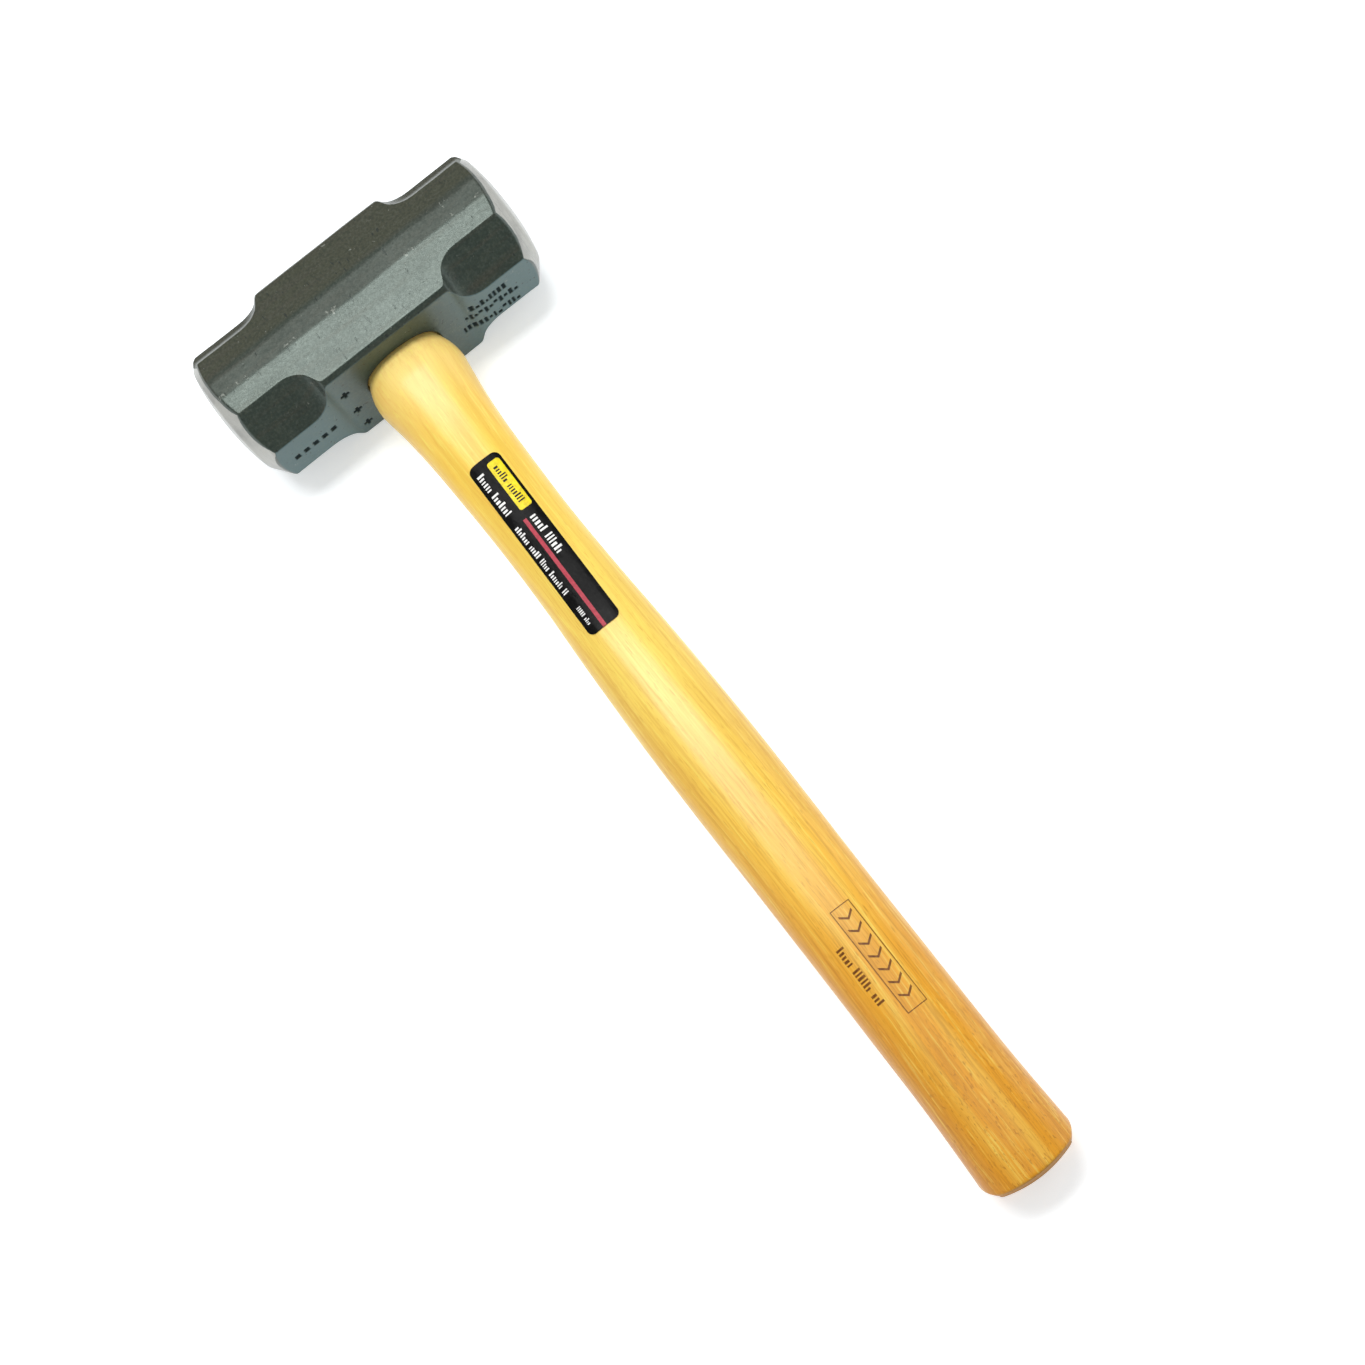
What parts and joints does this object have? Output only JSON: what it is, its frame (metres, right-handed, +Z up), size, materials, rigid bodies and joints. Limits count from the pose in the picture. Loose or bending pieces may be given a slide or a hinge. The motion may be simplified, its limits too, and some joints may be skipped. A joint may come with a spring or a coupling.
{
  "type": "sledgehammer",
  "caption": "Short double-faced engineer's sledgehammer: a painted forged octagonal head with bright bevelled faces, wedged on a waisted oval lacquered wooden handle with a label.",
  "frame": {"origin": "on the surface that the hammer lies on, under the middle of its bounding box", "axes": "the hammer lies on its back cheek and its butt: +X along the head, +Y from the butt of the handle towards the head, +Z up, out of the front cheek; the handle slopes 1.9 degrees down from the head to the butt"},
  "size_m": [0.126, 0.3968, 0.0502],
  "materials": {
    "head_paint": "gloss",
    "handle_wood": "gloss",
    "wedge_wood": "matte",
    "wedge_steel": "satin",
    "label_film": "gloss"
  },
  "bodies": {
    "root": {"head": "head_paint", "handle": "handle_wood", "wood_wedge": "wedge_wood", "steel_wedge_left": "wedge_steel", "steel_wedge_right": "wedge_steel", "label": "label_film"}
  },
  "joints": []
}
